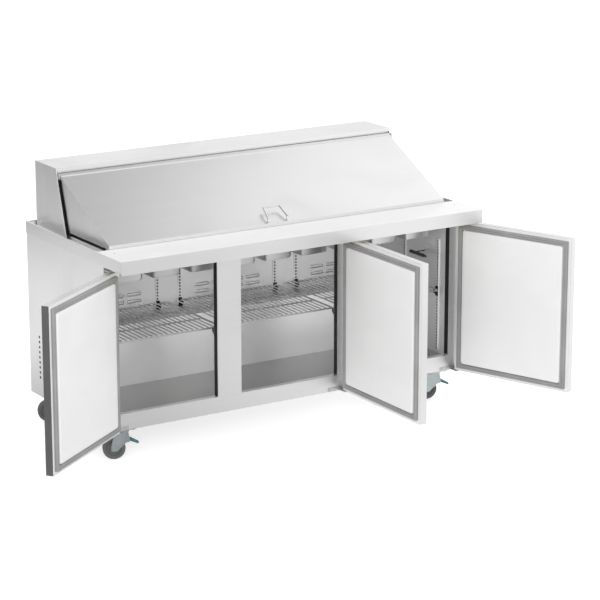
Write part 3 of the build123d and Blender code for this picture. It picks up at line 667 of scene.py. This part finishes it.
def nodeIslands(nodeName):
    # lowest and highest corner of each separate solid of a CAD node
    work = bmesh.new()
    work.from_mesh(cadNodes[nodeName].data)
    bmesh.ops.remove_doubles(work, verts=work.verts, dist=1e-6)
    work.verts.ensure_lookup_table()
    seen, found = set(), []
    for start in work.verts:
        if start.index in seen:
            continue
        stack, low, high = [start], Vector((9, 9, 9)), Vector((-9, -9, -9))
        seen.add(start.index)
        while stack:
            vert = stack.pop()
            low = Vector(map(min, low, vert.co))
            high = Vector(map(max, high, vert.co))
            for edge in vert.link_edges:
                other = edge.other_vert(vert)
                if other.index not in seen:
                    seen.add(other.index)
                    stack.append(other)
        found.append((low, high))
    work.free()
    return found


# screws

screw = {"profile": [(0.01, 1.3), (1.5, 1.3), (1.7, 2.5), (2.5, 2.45), (3.3, 2.0), (3.9, 1.1), (4.0, 0.0),
                     (0.01, 0.0)], "segments": 14}


def screwRows():
    rows = []
    for low, high in nodeIslands("panel_screw"):
        span, middle = high - low, (low + high) / 2
        facing = Vector((0, 0, 0))
        if span.x < 0.004:
            facing.x = 1.0 if middle.x > cabinetMidX else -1.0
            base = Vector((low.x if facing.x > 0 else high.x, middle.y, middle.z))
        else:
            facing.y = 1.0 if middle.y > 0.2 else -1.0
            base = Vector((middle.x, low.y if facing.y > 0 else high.y, middle.z))
        rows.append((base, facing))
    return rows


copiesPiece("sheet_screws", screwRows(), turnedShape("screwHead", screw["profile"], screw["segments"]),
            "cabinet", "screw_steel", ("panel_screw",), spread=6.28)


# black rings in the side vent holes: painted shade of the dark holes
ventShadeRing = {"profile": [(2.4, -3.0), (2.4, 0.2), (3.0, 0.8), (5.0, 0.9), (5.6, 0.5), (5.6, 0.05), (4.3, 0.02),
                      (4.3, -3.0)], "columns": (735.6, 767.1), "segments": 12, "sheetX": 888.0,
          "lowest": 222.5, "pitch": 22.6, "rows": 9}


def ventShadeRingRows():
    rows = []
    for side in (-1, 1):
        for y in ventShadeRing["columns"]:
            for i in range(ventShadeRing["rows"]):
                rows.append((place(side * ventShadeRing["sheetX"], y, ventShadeRing["lowest"] + i * ventShadeRing["pitch"]),
                             Vector((side, 0, 0))))
    return rows


def ventShadeRingMesh():
    rings = []
    for i in range(ventShadeRing["segments"]):
        angle = 2 * math.pi * i / ventShadeRing["segments"]
        rings.append([Vector((radius * math.cos(angle), radius * math.sin(angle), up)) * mm
                      for radius, up in ventShadeRing["profile"]])
    return ringMesh("ventShadeRingOne", rings, closed=True)


copiesPiece("vent_eyelets", ventShadeRingRows(), ventShadeRingMesh(), "cabinet", "clip_black")


# food pans: drawn steel with a rolled rim

pan = {"halfLong": 88.0, "halfWide": 81.0, "top": 882.6, "bottom": 736.4, "firstY": 309.0, "pitchX": 181.0,
       "pitchY": 165.0, "columns": 9, "rows": 3, "sheet": 0.8, "floorGap": 1.0, "lipInset": 14.8,
       "lipCorner": 14.0,
       "lipDrop": 1.4, "hemInset": 1.6, "hemCorner": 9.0, "hemDrops": (1.6, 4.6)}
# inset from the rim's outside, height below the rim, corner radius
panProfile = [(0.6, 5.0, 10), (0.0, 1.6, 10), (1.2, 0.0, 10), (13.0, 0.0, 14), (15.6, 1.6, 16),
              (16.6, 5.0, 16), (22.0, 138.0, 14), (25.0, 144.0, 14), (31.0, 145.2, 14), (60.0, 145.2, 6)]


def panMesh():
    depth = pan["top"] - pan["bottom"]
    inside = []
    for inset, drop, radius in panProfile:
        flat = softRectangle(pan["halfLong"] - inset, pan["halfWide"] - inset, radius, 3)
        inside.append([Vector((x, y, -min(drop, depth - pan["floorGap"]))) * mm for x, y in flat])
    outside, sheet = [], pan["sheet"]
    for inset, drop, radius in reversed(panProfile[5:]):
        flat = softRectangle(pan["halfLong"] - inset + sheet, pan["halfWide"] - inset + sheet, radius, 3)
        outside.append([Vector((x, y, -min(drop + sheet, depth))) * mm for x, y in flat])
    lip = softRectangle(pan["halfLong"] - pan["lipInset"], pan["halfWide"] - pan["lipInset"],
                        pan["lipCorner"], 3)
    under = [Vector((x, y, -pan["lipDrop"])) * mm for x, y in lip]
    hem = softRectangle(pan["halfLong"] - pan["hemInset"], pan["halfWide"] - pan["hemInset"],
                        pan["hemCorner"], 3)
    curl = [[Vector((x, y, -drop)) * mm for x, y in hem] for drop in pan["hemDrops"]]
    rings = list(reversed(inside)) + list(reversed(curl)) + [under] + list(reversed(outside))
    return ringMesh("foodPan", rings)


def panRows():
    rows = []
    for row in range(pan["rows"]):
        for column in range(pan["columns"]):
            x = (column - (pan["columns"] - 1) / 2) * pan["pitchX"]
            rows.append((place(x, pan["firstY"] + row * pan["pitchY"], pan["top"]), Vector((0, 0, 1))))
    return rows


copiesPiece("food_pans", panRows(), panMesh(), "cabinet", "pan_steel", ("sixth_pan",))


# wire shelves, grown from a few numbers

shelf = {"middles": (-562.0, 0.0, 562.0), "halfWide": 260.0, "frontY": 218.0, "backY": 676.0,
         "height": 494.0, "wires": 21, "wireRadius": 2.7, "frameRadius": 3.2, "cornerRadius": 12.0,
         "sideGap": 18.0}


def makeShelfTree():
    tree, given, out = newTree(
        "wireShelf", "GeometryNodeTree",
        [("Width", floatSocket, 0.52), ("Depth", floatSocket, 0.45), ("Wires", "NodeSocketInt", 25),
         ("Wire Radius", floatSocket, 0.002), ("Frame Radius", floatSocket, 0.003),
         ("Side Gap", floatSocket, 0.018),
         ("Corner Radius", floatSocket, 0.012),
         ("Finish", "NodeSocketMaterial", None)],
        [("Geometry", "NodeSocketGeometry")])
    half = mathNode(tree, "MULTIPLY", given["Width"], 0.5)
    inner = mathNode(tree, "SUBTRACT", half, given["Side Gap"])
    left = mathNode(tree, "MULTIPLY", inner, -1.0)
    step = mathNode(tree, "MULTIPLY", inner, 2.0)
    gaps = mathNode(tree, "SUBTRACT", given["Wires"], 1.0)
    pitch = mathNode(tree, "DIVIDE", step, gaps)
    lift = mathNode(tree, "ADD", given["Wire Radius"], given["Frame Radius"])
    start = addNode(tree, "ShaderNodeCombineXYZ", {"X": left, "Z": mathNode(tree, "MULTIPLY", lift, 0.9)})
    away = addNode(tree, "ShaderNodeCombineXYZ", {"X": pitch})
    line = addNode(tree, "GeometryNodeMeshLine", {"Count": given["Wires"], "Start Location": start.outputs[0],
                                                  "Offset": away.outputs[0]})
    rodEnd = addNode(tree, "ShaderNodeCombineXYZ", {"Y": given["Depth"]})
    wire = addNode(tree, "GeometryNodeCurvePrimitiveLine", {"Start": (0, 0, 0), "End": rodEnd.outputs[0]})
    section = addNode(tree, "GeometryNodeCurvePrimitiveCircle",
                      {"Resolution": 8, "Radius": given["Wire Radius"]})
    rod = addNode(tree, "GeometryNodeCurveToMesh",
                  {"Curve": wire.outputs[0], "Profile Curve": section.outputs[0], "Fill Caps": True})
    rods = addNode(tree, "GeometryNodeInstanceOnPoints",
                   {"Points": line.outputs[0], "Instance": rod.outputs[0]})
    frameSize = mathNode(tree, "SUBTRACT", given["Width"],
                         mathNode(tree, "MULTIPLY", given["Frame Radius"], 2.0))
    border = addNode(tree, "GeometryNodeCurvePrimitiveQuadrilateral",
                     {"Width": frameSize, "Height": given["Depth"]})
    corner = addNode(tree, "GeometryNodeFilletCurve",
                     {"Curve": border.outputs[0], "Radius": given["Corner Radius"], "Count": 4},
                     mode="POLY")
    middle = addNode(tree, "ShaderNodeCombineXYZ", {"Y": mathNode(tree, "MULTIPLY", given["Depth"], 0.5)})
    placed = addNode(tree, "GeometryNodeTransform",
                     {"Geometry": corner.outputs[0], "Translation": middle.outputs[0]})
    thick = addNode(tree, "GeometryNodeCurvePrimitiveCircle",
                    {"Resolution": 10, "Radius": given["Frame Radius"]})
    rail = addNode(tree, "GeometryNodeCurveToMesh",
                   {"Curve": placed.outputs[0], "Profile Curve": thick.outputs[0]})
    crossStart = addNode(tree, "ShaderNodeCombineXYZ", {"X": mathNode(tree, "MULTIPLY", frameSize, -0.5)})
    crossEnd = addNode(tree, "ShaderNodeCombineXYZ", {"X": mathNode(tree, "MULTIPLY", frameSize, 0.5)})
    crossLine = addNode(tree, "GeometryNodeCurvePrimitiveLine", {"Start": crossStart.outputs[0],
                                                                 "End": crossEnd.outputs[0]})
    cross = addNode(tree, "GeometryNodeCurveToMesh", {"Curve": crossLine.outputs[0],
                                                      "Profile Curve": thick.outputs[0], "Fill Caps": True})
    third = mathNode(tree, "DIVIDE", given["Depth"], 3.0)
    crossStep = addNode(tree, "ShaderNodeCombineXYZ", {"Y": third})
    crossPoints = addNode(tree, "GeometryNodeMeshLine", {"Count": 2, "Start Location": crossStep.outputs[0],
                                                         "Offset": crossStep.outputs[0]})
    crosses = addNode(tree, "GeometryNodeInstanceOnPoints", {"Points": crossPoints.outputs[0],
                                                             "Instance": cross.outputs[0]})
    joined = addNode(tree, "GeometryNodeJoinGeometry")
    for part in (rods, rail, crosses):
        tree.links.new(part.outputs[0], joined.inputs[0])
    real = addNode(tree, "GeometryNodeRealizeInstances", {"Geometry": joined.outputs[0]})
    dressed = addNode(tree, "GeometryNodeSetMaterial",
                      {"Geometry": real.outputs[0], "Material": given["Finish"]})
    tree.links.new(dressed.outputs[0], out.inputs["Geometry"])
    return tree


shelfTree = makeShelfTree()


def addShelves():
    grown = growMesh("wireShelfOne", shelfTree, {
        "Width": 2 * shelf["halfWide"] * mm, "Depth": (shelf["backY"] - shelf["frontY"]) * mm,
        "Wires": shelf["wires"], "Wire Radius": shelf["wireRadius"] * mm,
        "Frame Radius": shelf["frameRadius"] * mm,
        "Side Gap": shelf["sideGap"] * mm, "Corner Radius": shelf["cornerRadius"] * mm,
        "Finish": finish["coated_wire"]})
    work = bmesh.new()
    for x in shelf["middles"]:
        copy = grown.copy()
        copy.transform(Matrix.Translation(place(x, shelf["frontY"], shelf["height"])))
        work.from_mesh(copy)
    mesh = bpy.data.meshes.new("shelf_wires")
    work.to_mesh(mesh)
    work.free()
    smoothBySharp(mesh)
    putPiece("shelf_wires", mesh, "cabinet", "coated_wire", ("wire_shelf",))


addShelves()

# pressed tongues inside the duct panel's air slots
tongue = {"middles": (-300.0, 300.0), "offsets": (-253.0, -170.0, 170.0, 253.0), "heights": (522.0, 553.0),
          "reach": 27.5, "radius": 4.2, "tab": 7.8, "frontY": 684.1, "backY": 685.3,
          "angles": (-90, -60, -30, -13, -10, 10, 13, 30, 60, 90)}


def addTongues():
    outline = []
    for side in (1, -1):
        for angle in tongue["angles"]:
            radius = tongue["tab"] if abs(angle) == 10 else tongue["radius"]
            turn = math.radians(angle)
            outline.append((side * (tongue["reach"] + radius * math.cos(turn)),
                            side * radius * math.sin(turn)))
    work = bmesh.new()
    for middle in tongue["middles"]:
        for offset in tongue["offsets"]:
            for height in tongue["heights"]:
                rings = [[place(middle + offset + x, y, height + z) for x, z in outline]
                         for y in (tongue["frontY"], tongue["backY"])]
                work.from_mesh(ringMesh("tongueOne", rings))
    mesh = bpy.data.meshes.new("duct_tongues")
    work.to_mesh(mesh)
    work.free()
    putPiece("duct_tongues", mesh, "cabinet", "liner_metal")


addTongues()

# black sheets inside the slotted standards: painted shade of their insides, seen through their slots
standardShade = {"wide": 9.5, "frontInset": 2.4, "backInset": 3.2, "endGap": 3.0}


def addStandardShadeSheets():
    work = bmesh.new()
    for low, high in nodeIslands("shelf_standard"):
        middle, span = (low + high) / 2, high - low
        if span.x > span.y:
            out = Vector((0, -1.0 if middle.y > 0.2 else 1.0, 0))
            foot = Vector((middle.x, high.y if out.y < 0 else low.y, 0))
        else:
            out = Vector((-1.0 if middle.x > cabinetMidX else 1.0, 0, 0))
            foot = Vector((high.x if out.x < 0 else low.x, middle.y, 0))
        depth = min(span.x, span.y)
        across = out.cross(Vector((0, 0, 1))) * standardShade["wide"] / 2 * mm
        ends = (low.z + standardShade["endGap"] * mm, high.z - standardShade["endGap"] * mm)
        rings = []
        for inset in (standardShade["frontInset"], standardShade["backInset"]):
            at = foot + out * (depth - inset * mm)
            corners = ((-1, 0), (1, 0), (1, 1), (-1, 1))
            rings.append([at + across * side + Vector((0, 0, ends[k])) for side, k in corners])
        work.from_mesh(ringMesh("shadeSheetOne", rings))
    mesh = bpy.data.meshes.new("standard_backs")
    work.to_mesh(mesh)
    work.free()
    putPiece("standard_backs", mesh, "cabinet", "clip_black")


addStandardShadeSheets()

# hooks that carry the shelves: outline going out from the standard, then height
hook = {"halfWide": 8.0, "base": 483.0, "outline": [(0.0, -19.0), (3.2, -19.0), (4.0, -12.0), (13.0, -5.5),
                                                    (16.5, 0.0), (16.5, 13.0), (13.0, 13.0), (12.0, 6.0),
                                                    (4.6, 6.0), (4.0, 24.0), (0.0, 26.0)]}


def addHooks():
    work = bmesh.new()
    for low, high in nodeIslands("shelf_clip"):
        middle, span = (low + high) / 2, high - low
        if span.x > span.y:
            facing = Vector((-1.0 if middle.x > cabinetMidX else 1.0, 0, 0))
            foot = Vector((high.x if facing.x < 0 else low.x, middle.y, hook["base"] * mm))
        else:
            facing = Vector((0, -1.0 if middle.y > 0.2 else 1.0, 0))
            foot = Vector((middle.x, high.y if facing.y < 0 else low.y, hook["base"] * mm))
        across = facing.cross(Vector((0, 0, 1)))
        rings = []
        for side in (-hook["halfWide"], hook["halfWide"]):
            rings.append([foot + (facing * out + across * side) * mm + Vector((0, 0, up * mm))
                          for out, up in hook["outline"]])
        work.from_mesh(ringMesh("hookOne", rings))
    bmesh.ops.recalc_face_normals(work, faces=work.faces)
    mesh = bpy.data.meshes.new("shelf_hooks")
    work.to_mesh(mesh)
    work.free()
    putPiece("shelf_hooks", mesh, "cabinet", "clip_black", ("shelf_clip",))


addHooks()
print("prep table: screws, pans and shelves made")


# caster wheels: rubber tread on a dark hub

wheel = {"segments": 40, "turn": -23.0, "tread": [(36.5, -12.8), (44.0, -13.5), (47.0, -12.4), (48.0, -9.6),
                                                  (48.0, 9.6), (47.0, 12.4), (44.0, 13.5), (36.5, 12.8)],
         "hub": [(5.1, -13.4), (11.0, -13.4), (12.5, -12.2), (14.0, -8.0), (30.0, -7.2), (33.0, -11.6),
                 (36.4, -12.6), (36.4, 12.6), (33.0, 11.6), (30.0, 7.2), (14.0, 8.0), (12.5, 12.2),
                 (11.0, 13.4), (5.1, 13.4)]}


def turnedRing(name, profile, segments):
    rings = []
    for i in range(segments):
        angle = 2 * math.pi * i / segments
        rings.append([Vector((radius * math.cos(angle), across, radius * math.sin(angle))) * mm
                      for radius, across in profile])
    return ringMesh(name, rings, closed=True)


def casterTurn(side):
    low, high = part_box("caster_wheel_" + side)
    return Matrix.Translation((low + high) / 2) @ Matrix.Rotation(math.radians(wheel["turn"]), 4, "Z")


def joinMeshes(name, meshes):
    work = bmesh.new()
    for index, mesh in enumerate(meshes):
        before = len(work.faces)
        work.from_mesh(mesh)
        work.faces.ensure_lookup_table()
        for face in work.faces[before:]:
            face.material_index = index
    made = bpy.data.meshes.new(name)
    work.to_mesh(made)
    work.free()
    return made


for side in ("front_left", "front_right", "rear_left", "rear_right"):
    tread = turnedRing("tread", wheel["tread"], wheel["segments"])
    hub = turnedRing("hub", wheel["hub"], wheel["segments"])
    both = joinMeshes("wheel_" + side, [tread, hub])
    both.transform(casterTurn(side))
    smoothBySharp(both)
    putPiece("rolling_wheel_" + side, both, "wheel_" + side, "tyre_black", ("caster_wheel_" + side,),
             ("tyre_tread", "tyre_black"))
print("prep table: wheels turned")
